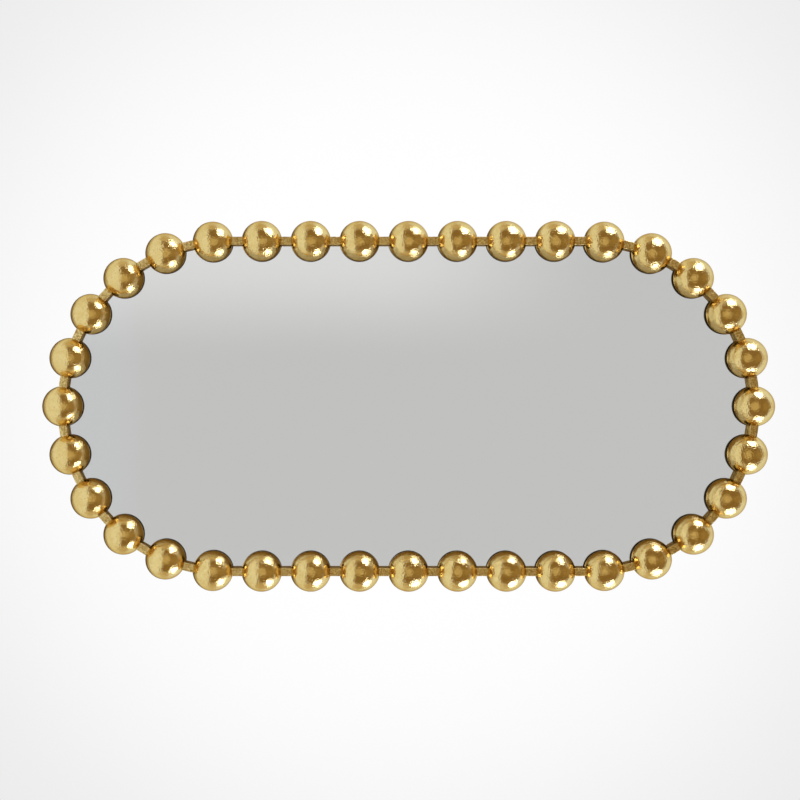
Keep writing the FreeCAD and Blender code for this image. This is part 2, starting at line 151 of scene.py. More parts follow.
def ramp(tree, value, low, high, to_low=0.0, to_high=1.0):
    """Map low to to_low and high to to_high, with a soft start and stop, and hold it there outside."""
    node = add(tree, "ShaderNodeMapRange", {"interpolation_type": "SMOOTHSTEP"}, Value=value)
    for name, number in (("From Min", low), ("From Max", high), ("To Min", to_low), ("To Max", to_high)):
        node.inputs[name].default_value = number
    return node.outputs["Result"]


def rgb(red, green, blue):
    """A colour as a socket takes it, with nothing see-through."""
    return (red, green, blue, 1.0)


print("a colour for a socket:", rgb(0.8, 0.6, 0.2))

# %% [markdown]
# ## The room around it
# A polished bead is a tiny fish-eye picture of the studio, so the studio is painted on the world by
# direction, as soft spots of colour laid one over another: cool white on the left and far right,
# grey behind the object, and a dim, warm space in front. Spots are easy to move until the bright and
# dark parts sit on the beads where they do in the photograph.

# %% Colours of the studio
SOFT_WHITE = rgb(0.55, 0.55, 0.56)
ROOM_BEHIND = rgb(0.68, 0.67, 0.63)
ROOM_DIM = rgb(0.245, 0.162, 0.064)
ROOM_FRONT = rgb(0.33, 0.24, 0.105)
ROOM_LEFT = rgb(0.80, 0.86, 0.90)
ROOM_RIGHT = rgb(0.84, 0.96, 1.20)
ROOM_SHADE = rgb(0.40, 0.37, 0.31)
ROOM_GLOOM = rgb(0.13, 0.09, 0.045)
ROOM_OVER = rgb(0.56, 0.49, 0.34)
# Each spot has its direction, its half angle, the angle over which it fades, and its colour.
ROOM_SPOTS = [
    ((0.65, 0.35, 0.65), 25, 25, ROOM_RIGHT),
    ((0.65, 0.35, -0.65), 25, 25, ROOM_RIGHT),
    ((0.20, -1.0, 0.0), 60, 24, ROOM_DIM),
    ((0.80, -0.60, 0.0), 7, 22, ROOM_FRONT),
    ((0.0, 0.0, 1.0), 8, 20, ROOM_OVER),
    ((0.0, 0.0, -1.0), 8, 20, ROOM_OVER),
    ((-0.9, 0.45, 0.0), 60, 8, ROOM_LEFT),
    ((-0.6, 0.8, 0.0), 20, 26, ROOM_SHADE),
    ((-0.42, 0.9, 0.0), 12, 20, ROOM_GLOOM),
]


def spot(tree, ray, axis, half_angle, soft):
    """Give 1 within half_angle degrees of an axis, falling to 0 over the next soft degrees."""
    length = math.sqrt(sum(value * value for value in axis))
    unit = tuple(value / length for value in axis)
    product = add(tree, "ShaderNodeVectorMath", {"operation": "DOT_PRODUCT"}, i0=ray, i1=unit)
    edge, core = (math.cos(math.radians(angle)) for angle in (half_angle + soft, half_angle))
    return ramp(tree, product.outputs["Value"], edge, core)


def reflected_room(tree, ray):
    """Lay the soft spots over the grey behind, each one over those before it."""
    colour = ROOM_BEHIND
    for axis, half_angle, soft, paint in ROOM_SPOTS:
        colour = blend_colours(tree, spot(tree, ray, axis, half_angle, soft), colour, paint)
    return colour


print("spots in the room:", len(ROOM_SPOTS))

# %% [markdown]
# ## The screen in the glass, and the world
# The flat glass faces the dim space, and yet in the photograph it is an even grey with a lighter
# patch at its upper left. So light that comes straight out of the glass sees a plain grey screen,
# whichever way it goes. Where a bead mirrors the glass, the screen is low and wide, with a white left
# end. Where the glass mirrors a bead, that bead sees little of the screen and more of the dark, which
# helps the thin dark line between a bead and its reflection. A Light Path node tells these kinds of
# light apart. The camera itself sees a plain white sweep that falls off a little towards the
# corners, and everything rough is lit by plain soft white.

# %% The screen's masks
SCREEN = rgb(0.583, 0.583, 0.583)
SCREEN_BRIGHT = rgb(0.762, 0.755, 0.757)
SCREEN_LEFT = rgb(1.0, 1.0, 1.0)
# Places on the screen are slopes: how far across and up a ray goes for each metre that it goes ahead.
SCREEN_MIDDLE = (-0.28, -0.012)
SCREEN_REACH = (0.57, 0.13)
SCREEN_FADE = 1.25
BRIGHT_UP = (0.015, 0.083)
BRIGHT_ACROSS = (0.185, 0.015)
LEFT_ACROSS = (-0.19, -0.24)
LEAST_AHEAD = 0.05


def screen_masks(tree, ray):
    """Masks of the whole screen, of its bright part and of its left end.

    The screen is a rectangle with round corners. Across and up, the distance from its middle is a
    share of its reach, and it starts to fade where the fourth powers of both shares add up to 1.
    """
    parts = add(tree, "ShaderNodeSeparateXYZ", Vector=ray)
    ahead = maths(tree, "MAXIMUM", maths(tree, "MULTIPLY", parts.outputs[1], -1.0), LEAST_AHEAD)
    slopes = [maths(tree, "DIVIDE", parts.outputs[axis], ahead) for axis in (0, 2)]
    powers = []
    for slope, middle, reach in zip(slopes, SCREEN_MIDDLE, SCREEN_REACH):
        share = maths(tree, "DIVIDE", maths(tree, "SUBTRACT", slope, middle), reach)
        powers.append(maths(tree, "POWER", maths(tree, "ABSOLUTE", share), 4.0))
    whole = ramp(tree, maths(tree, "ADD", *powers), SCREEN_FADE, 1.0)
    across, up = slopes
    bright = maths(tree, "MULTIPLY", ramp(tree, up, *BRIGHT_UP), ramp(tree, across, *BRIGHT_ACROSS))
    return whole, bright, ramp(tree, across, *LEFT_ACROSS)


print("the screen is %.2f wide and %.2f high, in slopes" % tuple(2 * reach for reach in SCREEN_REACH))

# %% World
SWEEP = rgb(1.0, 1.0, 1.0)
SWEEP_EDGE = rgb(0.84, 0.84, 0.84)
SWEEP_SPOT = ((0.034, 1.0, -0.001), 6.0, 15)
SCREEN_ON_METAL = 0.15
NIGHT = rgb(0.03, 0.02, 0.01)
NIGHT_SPOT = ((0.35, -1.0, -0.30), 40, 25)
NIGHT_SHARE = 0.45


def paint_world():
    """Reflections see the painted room, the camera sees the sweep, and the rest is lit by soft white."""
    world = bpy.data.worlds.new("studio")
    bpy.context.scene.world = world
    world.use_nodes = True
    tree = world.node_tree
    tree.nodes.clear()
    ray = add(tree, "ShaderNodeTexCoord").outputs["Generated"]
    whole, bright, left = screen_masks(tree, ray)
    plain = blend_colours(tree, bright, SCREEN, SCREEN_BRIGHT)
    screen = blend_colours(tree, left, plain, SCREEN_LEFT)

    kind = add(tree, "ShaderNodeLightPath").outputs
    through = maths(tree, "MINIMUM", kind["Transmission Depth"], 1.0)
    shown = maths(tree, "MULTIPLY_ADD", kind["Is Transmission Ray"], 1.0 - SCREEN_ON_METAL, SCREEN_ON_METAL)
    night = maths(tree, "MULTIPLY", spot(tree, ray, *NIGHT_SPOT), NIGHT_SHARE)
    room = blend_colours(tree, maths(tree, "MULTIPLY", night, through), reflected_room(tree, ray), NIGHT)
    whole = maths(tree, "MULTIPLY", whole, maths(tree, "MULTIPLY", shown, through))
    room = blend_colours(tree, whole, room, screen)
    flat_glass = maths(tree, "MULTIPLY", maths(tree, "LESS_THAN", kind["Glossy Depth"], 1.5), through)
    room = blend_colours(tree, flat_glass, room, plain)
    sweep = blend_colours(tree, spot(tree, ray, *SWEEP_SPOT), SWEEP_EDGE, SWEEP)
    colour = blend_colours(tree, kind["Is Glossy Ray"], SOFT_WHITE, room)
    colour = blend_colours(tree, kind["Is Camera Ray"], colour, sweep)
    light = add(tree, "ShaderNodeBackground", Color=colour, Strength=1.0)
    output = add(tree, "ShaderNodeOutputWorld")
    tree.links.new(light.outputs[0], output.inputs["Surface"])


paint_world()
bpy.context.scene.view_settings.view_transform = "Standard"
print("world painted, view transform:", bpy.context.scene.view_settings.view_transform)

# %% [markdown]
# ## Cards
# Some parts of the studio stand so near that each bead sees them in another direction. A painted
# world can't do that, so they are real flat cards. Cards glow, so their brightness in a reflection is
# exactly their strength. The camera doesn't see them, they throw no shadow, and light that came
# through the glass passes them, because it sees the screen instead.

# %% Card helpers
def glowing(name, colour, strength):
    """A card glows as much as its points say, and it is clear for light that came through the glass."""
    material = bpy.data.materials.new(name)
    material.use_nodes = True
    tree = material.node_tree
    tree.nodes.clear()
    glow = add(tree, "ShaderNodeEmission", Color=rgb(*colour), Strength=strength)
    kind = add(tree, "ShaderNodeLightPath").outputs
    direct = maths(tree, "LESS_THAN", kind["Transmission Depth"], 0.5)
    full = add(tree, "ShaderNodeAttribute", {"attribute_name": "full"}).outputs["Fac"]
    share = maths(tree, "MULTIPLY", direct, ramp(tree, full, 0.0, 1.0))
    clear = add(tree, "ShaderNodeBsdfTransparent")
    mix = add(tree, "ShaderNodeMixShader", i0=share, i1=clear.outputs[0], i2=glow.outputs[0])
    output = add(tree, "ShaderNodeOutputMaterial")
    tree.links.new(mix.outputs[0], output.inputs["Surface"])
    return material


def stage_card(name, material, edge, inner=()):
    """Make a flat card from its edge, hidden from the camera and throwing no shadow.

    Between the edge and a line inside it, the share of full light climbs from 0 to 1.
    """
    points = [tuple(corner) for corner in edge] + [tuple(corner) for corner in inner]
    count = len(edge)
    here = np.arange(count)
    there = np.roll(here, -1)
    faces = [tuple(range(len(points) - count, len(points)))]
    if len(inner):
        faces += np.stack([here, there, count + there, count + here], axis=-1).tolist()
    mesh = bpy.data.meshes.new(name)
    mesh.from_pydata(points, [], faces)
    full = mesh.attributes.new("full", "FLOAT", "POINT")
    full.data.foreach_set("value", [0.0 if len(inner) else 1.0] * count + [1.0] * len(inner))
    mesh.materials.append(material)
    card = bpy.data.objects.new(name, mesh)
    bpy.context.scene.collection.objects.link(card)
    card.visible_camera = False
    card.visible_shadow = False
    return card


def disc(middle, facing, radius, count=48):
    """Points on a circle round middle, in the plane that faces the given direction."""
    facing = np.array(facing) / np.linalg.norm(facing)
    side = np.cross(facing, (0.0, 1.0, 0.0) if abs(facing[2]) > 0.5 else (0.0, 0.0, 1.0))
    side /= np.linalg.norm(side)
    turn = np.linspace(0, 2 * np.pi, count, endpoint=False)[:, None]
    return np.array(middle) + radius * (np.cos(turn) * side + np.sin(turn) * np.cross(facing, side))


print("points round a light:", len(disc((0.0, 0.0, 0.0), (0.0, 0.0, 1.0), 1.0)))

# %% [markdown]
# ## White panel
# The big white panel on the left makes the pale band on each bead's left side. Its edge bows away
# above and below, which bends the band round the bead, and the edge fades softly, as it does on
# slightly dull metal.

# %% White panel
PANEL_DEPTH = -0.97
PANEL_EDGE = [(-0.54, 0.0), (-0.55, 0.35), (-0.61, 0.8), (-0.82, 1.5), (-1.4, 3.0), (-2.3, 5.5)]
PANEL_REACH = 6.0
PANEL_FADE = 0.12
PANEL_LIGHT = (0.80, 0.86, 0.90)


def panel_ring(shift):
    """The bowed edge, the same below as above, moved across by shift, and the panel's far side."""
    side = np.array([(x, -z) for x, z in PANEL_EDGE[:0:-1]] + PANEL_EDGE)
    top = PANEL_EDGE[-1][1]
    ring = np.concatenate([side + (shift, 0.0), [(-PANEL_REACH, top), (-PANEL_REACH, -top)]])
    return np.insert(ring, 1, PANEL_DEPTH, axis=1)


panel = stage_card("panel", glowing("panel_white", PANEL_LIGHT, 1.0), panel_ring(PANEL_FADE / 2),
                   panel_ring(-PANEL_FADE / 2))
print("panel corners:", len(panel.data.vertices))

# %% [markdown]
# ## Lights
# The two strong lights are round cards, high and low on the right, a little over two metres away.
# Each leaves one hot spot on every bead. A large, faint patch behind the camera gives the soft glow
# in the middle of the dark.

# %% Lights and the faint patch
LAMP_DISTANCE = 2.2
LAMP_STRENGTH = 5.5
LAMP_LIGHT = (0.86, 0.96, 1.22)
LAMPS = {"lamp_high": ((0.49, -0.285, 0.82), 16.5), "lamp_low": ((0.455, -0.165, -0.875), 16.0)}
PATCH_PLACE = (0.05, -2.5, 0.0)
PATCH_CORE, PATCH_END = 0.80, 1.50
PATCH_LIGHT = (0.55, 0.47, 0.29)
TOWARDS_GLASS = (0.0, 1.0, 0.0)

stage_card("camera_side", glowing("camera_side_grey", PATCH_LIGHT, 1.0),
           disc(PATCH_PLACE, TOWARDS_GLASS, PATCH_END), disc(PATCH_PLACE, TOWARDS_GLASS, PATCH_CORE))
for name, (direction, half_angle) in LAMPS.items():
    aim = np.array(direction) / np.linalg.norm(direction)
    radius = LAMP_DISTANCE * math.tan(math.radians(half_angle))
    stage_card(name, glowing(name, LAMP_LIGHT, LAMP_STRENGTH), disc(aim * LAMP_DISTANCE, -aim, radius))
    print("%s: radius %.2f m" % (name, radius))

# %% [markdown]
# ## Floor
# The floor is a plain pale disc far below. It shows in views from above, and reflections leave it
# out, because the painted room already has its own lower half.

# %% Floor
FLOOR_HEIGHT = -1.5
FLOOR_RADIUS = 3.2

floor_material = bpy.data.materials.new("pale_floor")
floor_material.use_nodes = True
floor_shader = floor_material.node_tree.nodes["Principled BSDF"]
floor_shader.inputs["Base Color"].default_value = rgb(0.82, 0.82, 0.81)
floor_shader.inputs["Roughness"].default_value = 0.7
floor = stage_card("floor", floor_material, disc((0.0, 0.0, FLOOR_HEIGHT), (0.0, 0.0, 1.0), FLOOR_RADIUS, 96))
floor.visible_camera = True
floor.visible_glossy = False
print("floor %.1f m below the middle" % -FLOOR_HEIGHT)

# %% [markdown]
# ## Places along the bar
# The bar's centre line is two straights and two half circles. Measured from the middle of the top,
# one distance says everything: how much of a straight is used up, how far the bow has turned, and how
# much of the far straight has come. The left half repeats the right half with X turned round. Beads,
# bars, glass and board all follow this one line, so they can't drift apart.

# %% The pill path
BOW = math.pi * BEND_RADIUS
LAP = 4 * HALF_STRAIGHT + 2 * BOW


def pill_path(along):
    """Places and outward directions on the centre line, clockwise from the middle of the top.

    The distance is folded onto the right half. X is the straight that is used up, less the far straight
    that has come, plus the radius times the turn's sine, and Z is the radius times its cosine.
    """
    along = np.asarray(along, float) % LAP
    side = np.where(along <= LAP / 2, 1.0, -1.0)
    folded = np.minimum(along, LAP - along)
    used = np.clip(folded, 0, HALF_STRAIGHT)
    turn = np.clip(folded - HALF_STRAIGHT, 0, BOW) / BEND_RADIUS
    far = np.clip(folded - HALF_STRAIGHT - BOW, 0, HALF_STRAIGHT)
    outward = np.stack([side * np.sin(turn), np.cos(turn)], axis=-1)
    place = np.stack([side * (used - far), np.zeros_like(side)], axis=-1) + BEND_RADIUS * outward
    return place, outward


def on_path(along, out, depth):
    """Points that stand out from the centre line in the picture's plane, at a depth from the wall."""
    place, outward = pill_path(along)
    flat = place + outward * np.asarray(out)[..., None]
    depth = np.broadcast_to(depth, flat.shape[:-1])
    return np.stack([flat[..., 0], -depth, flat[..., 1]], axis=-1)


print("the bar is %.3f m round" % LAP)

# %% [markdown]
# ## From arrays to pieces
# A grid of points becomes a mesh when its neighbours are joined by four-sided faces. The faces must
# point outwards, and the volume that they enclose tells: if it comes out negative, the faces look
# inwards and are turned round. A piece then gets its materials and its body, and takes the place of
# the measured node that it stands for.

# %% Mesh helpers
def grid_faces(rows, columns, start=0):
    """Join each row of a grid with the next one. The last point of a row is joined with its first."""
    row, column = np.meshgrid(np.arange(rows - 1), np.arange(columns), indexing="ij")
    here, there = row * columns, (row + 1) * columns
    after = (column + 1) % columns
    corners = [here + column, here + after, there + after, there + column]
    return np.stack(corners, axis=-1).reshape(-1, 4) + start


def enclosed(points, faces):
    """A sixth of the summed triple products of the faces' triangles is the volume that they enclose."""
    fans = [(face[0], face[step], face[step + 1]) for face in faces for step in range(1, len(face) - 1)]
    first, second, third = (points[list(corner)] for corner in zip(*fans))
    return np.einsum("ij,ij->", first, np.cross(second, third)) / 6


def compact(faces):
    """Number the points that faces use from 0, and leave out the rest."""
    flat = np.concatenate([np.asarray(face) for face in faces])
    used, renumbered = np.unique(flat, return_inverse=True)
    ends = np.cumsum([len(face) for face in faces])[:-1]
    return used, [tuple(part.tolist()) for part in np.split(renumbered, ends)]


def make_piece(name, points, faces, materials, stands_for):
    """Make a smooth-shaded piece that faces outwards, rides on the mirror and stands for a node."""
    used, faces = compact(faces)
    points = np.asarray(points)[used]
    if enclosed(points - points.mean(axis=0), faces) < 0:
        faces = [tuple(reversed(face)) for face in faces]
    mesh = bpy.data.meshes.new(name)
    mesh.from_pydata(points.tolist(), [], faces)
    mesh.polygons.foreach_set("use_smooth", np.ones(len(mesh.polygons), bool))
    for material in materials:
        mesh.materials.append(material)
    mesh.update()
    piece = bpy.data.objects.new(name, mesh)
    bpy.context.scene.collection.objects.link(piece)
    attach(piece, "mirror")
    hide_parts(stands_for)
    return piece


def sharpen(piece, degrees):
    """Keep edges sharper than this from being shaded round."""
    piece.data.set_sharp_from_angle(angle=math.radians(degrees))


print("faces round a tube of 3 rings with 8 points each:", len(grid_faces(3, 8)))

# %% [markdown]
# ## Gold leaf
# The beads and the bar are covered in leaf: very thin sheets, laid by hand, burnished and then
# lacquered. Up close the gold is not one colour. It is mottled where the sheets overlap, it has tiny
# pinholes where the brown ground shows, their dark partly painted shade in the pits, more of them
# towards the front of a bead, and it is never quite flat, so a reflection's edge breaks up into specks.
# Both golds share one node group that works this out: a broad mottle, a fine grain, pinholes, and a
# height for the dimples, which are deeper in some places than in others. The materials only choose the
# colours and amounts.
# How much of the tone is grain is one of these: the bar is grainy, and the beads are smooth.

# %% Group helpers
def start_group(name, inputs, outputs):
    """Start a shader group with named number or vector sockets."""
    tree = bpy.data.node_groups.new(name, "ShaderNodeTree")
    kinds = {"number": "NodeSocketFloat", "vector": "NodeSocketVector"}
    for socket, kind, start in inputs:
        item = tree.interface.new_socket(socket, in_out="INPUT", socket_type=kinds[kind])
        if start is not None:
            item.default_value = start
    for socket, kind in outputs:
        tree.interface.new_socket(socket, in_out="OUTPUT", socket_type=kinds[kind])
    return tree, tree.nodes.new("NodeGroupInput").outputs, tree.nodes.new("NodeGroupOutput").inputs


def noise(tree, place, scale, detail=2.0, roughness=0.5, distortion=0.0):
    """A noise between 0 and 1 that changes scale times in a metre."""
    return add(tree, "ShaderNodeTexNoise", None, Vector=place, Scale=scale, Detail=detail,
               Roughness=roughness, Distortion=distortion).outputs[0]


print("sockets can be vectors or numbers, and every pattern is a noise")

# %% Node group: the lie of the leaf
HOLE_SPACING_SHARE = 0.85
HOLE_LEAST_SHARE, HOLE_SPECKLED_SHARE = 0.05, 0.12
SWELL_SHARE, HOLE_DEPTH_SHARE = 0.3, 0.25


def leaf_group():
    """Mottle and grain are noises, pinholes are the low tail of a third, and dimples are a fourth."""
    tree, given, result = start_group(
        "leaf_lie",
        [("Place", "vector", None), ("Mottle", "number", 55.0), ("Grain", "number", 520.0),
         ("Grain Share", "number", 0.45), ("Dimples", "number", 330.0), ("Worn", "number", 0.0)],
        [("Tone", "number"), ("Pinholes", "number"), ("Height", "number")])
    broad = ramp(tree, noise(tree, given["Place"], given["Mottle"], 3.0, 0.55, 0.4), 0.34, 0.66)
    fine = ramp(tree, noise(tree, given["Place"], given["Grain"], 2.0, 0.6), 0.30, 0.70)
    fine = maths(tree, "MULTIPLY", fine, given["Grain Share"])
    rest = maths(tree, "SUBTRACT", 1.0, given["Grain Share"])
    tone = maths(tree, "MULTIPLY_ADD", broad, rest, fine)

    swell = noise(tree, given["Place"], given["Mottle"], 1.0, 0.5)
    where = ramp(tree, swell, 0.40, 0.60)
    apart = maths(tree, "MULTIPLY", given["Dimples"], HOLE_SPACING_SHARE)
    # Pinholes: bare ground, darkened further as painted shade in the pits, and more of them towards the
    # front.
    holes = ramp(tree, noise(tree, given["Place"], apart, 1.0, 0.5), 0.385, 0.32)
    amount = maths(tree, "MULTIPLY_ADD", given["Worn"], HOLE_SPECKLED_SHARE, HOLE_LEAST_SHARE)
    amount = maths(tree, "MULTIPLY", amount, maths(tree, "MULTIPLY_ADD", where, 0.5, 0.5))
    holes = maths(tree, "MULTIPLY", holes, amount)

    dimples = noise(tree, given["Place"], given["Dimples"], 1.0, 0.5)
    height = maths(tree, "MULTIPLY", dimples, maths(tree, "MULTIPLY_ADD", where, 0.7, 0.6))
    height = maths(tree, "ADD", height, maths(tree, "MULTIPLY", swell, SWELL_SHARE))
    height = maths(tree, "SUBTRACT", height, maths(tree, "MULTIPLY", holes, HOLE_DEPTH_SHARE))
    tree.links.new(tone, result["Tone"])
    tree.links.new(holes, result["Pinholes"])
    tree.links.new(height, result["Height"])
    return tree


leaf_lie = leaf_group()
print("group:", leaf_lie.name, [item.name for item in leaf_lie.interface.items_tree])

# %% [markdown]
# ## The two golds
# The beads are polished, and the bar is duller and browner. Along a bead's foot, shade is painted over
# the leaf as a black band, matt and no metal. It reaches further forward where the bead is seen
# through the glass, and it makes the thin dark line between a bead and its reflection. A metal
# mirrors almost white at a grazing angle. Gold keeps some of its colour there, which the shader's
# Specular Tint sets.

# %% Colours and places of the gold
GOLD_LIGHT = rgb(0.93, 0.70, 0.30)
GOLD_DEEP = rgb(0.82, 0.57, 0.20)
BAR_GOLD_LIGHT = rgb(1.0, 0.79, 0.36)
BAR_GOLD_DEEP = rgb(0.44, 0.26, 0.06)
# The pinholes' dark brown is the bare ground, and also painted shade in the pits.
PINHOLE_GROUND_AND_SHADE = rgb(0.29, 0.17, 0.055)
# Painted shade: a black, matt band along each bead's foot.
PAINTED_FOOT_SHADE = rgb(0.012, 0.007, 0.003)
EDGE_TINT = rgb(0.70, 0.55, 0.35)
FOOT_REACH = 5.0 * MM
FOOT_SHADE = 5.0 * MM
FOOT_FULL_SHARE = 0.25
FOOT_ROUGHNESS = 0.8
BEAD_CROWN_SHARES = (0.74, 0.90)
BAR_CROWN = (3 * MM, 1 * MM)
BEAD_GRAIN_SHARE, BAR_GRAIN_SHARE = 0.45, 0.85

bead_crown = [BEAD_MIDDLE + share * BEAD_RADIUS for share in BEAD_CROWN_SHARES]
bar_crown = [BAR_FRONT - below for below in BAR_CROWN]
print("a bead is worn from %.0f to %.0f mm in front of the wall" % tuple(depth / MM for depth in bead_crown))

# %% Material helpers
def start_material(name):
    """A material with a Principled shader and the place on the object."""
    material = bpy.data.materials.new(name)
    material.use_nodes = True
    tree = material.node_tree
    shader = tree.nodes["Principled BSDF"]
    place = add(tree, "ShaderNodeTexCoord").outputs["Object"]
    return material, tree, shader, place


def use_group(tree, group, **sockets):
    """Place a group in a material and give each of its sockets a value or a link."""
    node = tree.nodes.new("ShaderNodeGroup")
    node.node_tree = group
    for name, value in sockets.items():
        socket = node.inputs[name.replace("_", " ")]
        if isinstance(value, bpy.types.NodeSocket):
            tree.links.new(value, socket)
        else:
            socket.default_value = value
    return node.outputs


def raise_bumps(tree, shader, height, distance):
    """Feed a height to the shader's normal, full height being this distance."""
    bump = add(tree, "ShaderNodeBump", None, Height=height, Strength=1.0, Distance=distance)
    tree.links.new(bump.outputs["Normal"], shader.inputs["Normal"])


print("materials before the golds:", [item.name for item in bpy.data.materials])

# %% Gold materials
def painted_foot_shade_mask(tree, depth, foot):
    """Give 1 along a bead's foot, where shade is painted, falling to 0 further forward.

    Seen through the glass the painted shade reaches further forward, since next to no light gets in there.
    """
    kind = add(tree, "ShaderNodeLightPath").outputs
    through = maths(tree, "MINIMUM", kind["Transmission Depth"], 1.0)
    depth = maths(tree, "MULTIPLY_ADD", through, FOOT_SHADE, depth)
    return ramp(tree, depth, -foot - FOOT_REACH, -foot - FOOT_FULL_SHARE * FOOT_REACH)


def leaf_gold(name, light, deep, rough, mottle, grain_share, dimples, bump, crown, foot=None):
    """Burnished leaf: light and deep gold by tone, the ground in the pinholes, and dimples as bumps.

    The pinholes grow between the crown's two depths, and their dark is partly painted shade in the pits.
    Where foot gives a depth, painted shade covers the leaf there: black, matt and no metal.
    """
    material, tree, shader, place = start_material(name)
    depth = add(tree, "ShaderNodeSeparateXYZ", Vector=place).outputs[1]
    speckled = ramp(tree, depth, -crown[0], -crown[1])
    leaf = use_group(tree, leaf_lie, Place=place, Mottle=mottle, Grain_Share=grain_share, Dimples=dimples,
                     Worn=speckled)
    gold = blend_colours(tree, leaf["Tone"], deep, light)
    colour = blend_colours(tree, leaf["Pinholes"], gold, PINHOLE_GROUND_AND_SHADE)
    polish = ramp(tree, leaf["Tone"], 0.0, 1.0, rough[1], rough[0])
    shader.inputs["Metallic"].default_value = 1.0
    shader.inputs["Specular Tint"].default_value = EDGE_TINT
    if foot is not None:
        # Painted shade along the foot: black, matt and no metal.
        shade_share = painted_foot_shade_mask(tree, depth, foot)
        colour = blend_colours(tree, shade_share, colour, PAINTED_FOOT_SHADE)
        polish = maths(tree, "MAXIMUM", polish, maths(tree, "MULTIPLY", shade_share, FOOT_ROUGHNESS))
        tree.links.new(maths(tree, "SUBTRACT", 1.0, shade_share), shader.inputs["Metallic"])
    tree.links.new(colour, shader.inputs["Base Color"])
    tree.links.new(polish, shader.inputs["Roughness"])
    raise_bumps(tree, shader, leaf["Height"], bump)
    return material


bead_gold = leaf_gold("bead_gold_leaf", GOLD_LIGHT, GOLD_DEEP, rough=(0.12, 0.18), mottle=60.0,
                      grain_share=BEAD_GRAIN_SHARE, dimples=400.0, bump=0.45 * MM, crown=bead_crown,
                      foot=BEAD_RIM)
bar_gold = leaf_gold("bar_gold_leaf", BAR_GOLD_LIGHT, BAR_GOLD_DEEP, rough=(0.30, 0.44), mottle=90.0,
                     grain_share=BAR_GRAIN_SHARE, dimples=420.0, bump=0.8 * MM, crown=bar_crown)
print("materials:", bead_gold.name, bar_gold.name)

# %% [markdown]
# ## Other finishes
# Behind the glass there is nothing precious: zinc-plated steel, raw steel, a painted board, foam tape
# and rubber. They share two more groups. One is a plain grain, for anything that is matt and slightly
# uneven. The other is rub: a mask that is high on edges and in a few scuffed places, found by
# comparing the true normal with one rounded over a small distance.

# %% Node groups: grain and rub
FINER = 8.0
FINER_SHARE = 0.4
SCUFF_FINER = 10.0


def grain_group():
    """Tone is one noise. Height is the same noise with a share of a finer one added."""
    tree, given, result = start_group(
        "grain", [("Place", "vector", None), ("Scale", "number", 300.0)],
        [("Tone", "number"), ("Height", "number")])
    coarse = noise(tree, given["Place"], given["Scale"], 2.0, 0.6)
    fine = noise(tree, given["Place"], maths(tree, "MULTIPLY", given["Scale"], FINER), 1.0, 0.5)
    tree.links.new(ramp(tree, coarse, 0.3, 0.7), result["Tone"])
    tree.links.new(maths(tree, "MULTIPLY_ADD", fine, FINER_SHARE, coarse), result["Height"])
    return tree


def rub_group():
    """Rub is high where the rounded normal leaves the true one, and where a broad noise peaks."""
    tree, given, result = start_group(
        "rub", [("Place", "vector", None), ("Width", "number", 0.0006), ("Scuffs", "number", 40.0)],
        [("Rub", "number")])
    rounded = add(tree, "ShaderNodeBevel", {"samples": 6}, Radius=given["Width"])
    true = add(tree, "ShaderNodeNewGeometry")
    close = add(tree, "ShaderNodeVectorMath", {"operation": "DOT_PRODUCT"},
                i0=rounded.outputs["Normal"], i1=true.outputs["Normal"]).outputs["Value"]
    edge = ramp(tree, close, 0.995, 0.86)
    finer = maths(tree, "MULTIPLY", given["Scuffs"], SCUFF_FINER)
    uneven = ramp(tree, noise(tree, given["Place"], finer), 0.35, 0.60)
    scuffs = ramp(tree, noise(tree, given["Place"], given["Scuffs"], 4.0, 0.7), 0.66, 0.74)
    tree.links.new(maths(tree, "MAXIMUM", maths(tree, "MULTIPLY", edge, uneven), scuffs), result["Rub"])
    return tree


grain = grain_group()
rub = rub_group()
print("groups:", grain.name, rub.name)

# %% Zinc, steel, primer, board, tape and rubber
def grained(name, dark, light, roughness, scale, bump, metallic=0.0, rubbed=None, rub_width=0.6 * MM):
    """A grainy finish between two colours, rougher where it is darker, and worn if rubbed is given."""
    material, tree, shader, place = start_material(name)
    surface = use_group(tree, grain, Place=place, Scale=scale)
    colour = blend_colours(tree, surface["Tone"], dark, light)
    if rubbed is not None:
        wear = use_group(tree, rub, Place=place, Width=rub_width)
        colour = blend_colours(tree, wear["Rub"], colour, rubbed)
    polish = ramp(tree, surface["Tone"], 0.0, 1.0, roughness[1], roughness[0])
    tree.links.new(colour, shader.inputs["Base Color"])
    tree.links.new(polish, shader.inputs["Roughness"])
    shader.inputs["Metallic"].default_value = metallic
    raise_bumps(tree, shader, surface["Height"], bump)
    return material


zinc = grained("zinc_plate", rgb(0.42, 0.43, 0.46), rgb(0.62, 0.63, 0.65), (0.26, 0.42), 160.0,
               0.06 * MM, metallic=1.0, rubbed=rgb(0.75, 0.75, 0.76), rub_width=0.4 * MM)
raw_steel = grained("raw_steel_bar", rgb(0.25, 0.25, 0.26), rgb(0.42, 0.42, 0.43), (0.35, 0.5), 240.0,
                    0.1 * MM, metallic=1.0)
bead_inside = grained("bead_inside_primer", rgb(0.045, 0.036, 0.030), rgb(0.10, 0.08, 0.065), (0.5, 0.7),
                      120.0, 0.12 * MM)
board_paint = grained("board_black_paint", rgb(0.010, 0.010, 0.011), rgb(0.028, 0.028, 0.030), (0.55, 0.75),
                      420.0, 0.12 * MM, rubbed=rgb(0.16, 0.125, 0.09), rub_width=0.9 * MM)
foam = grained("foam_tape_white", rgb(0.62, 0.62, 0.60), rgb(0.80, 0.80, 0.78), (0.8, 0.95), 700.0, 0.2 * MM)
rubber = grained("bumper_rubber", rgb(0.012, 0.012, 0.013), rgb(0.035, 0.035, 0.036), (0.45, 0.65), 500.0,
                 0.06 * MM, rubbed=rgb(0.075, 0.075, 0.078))
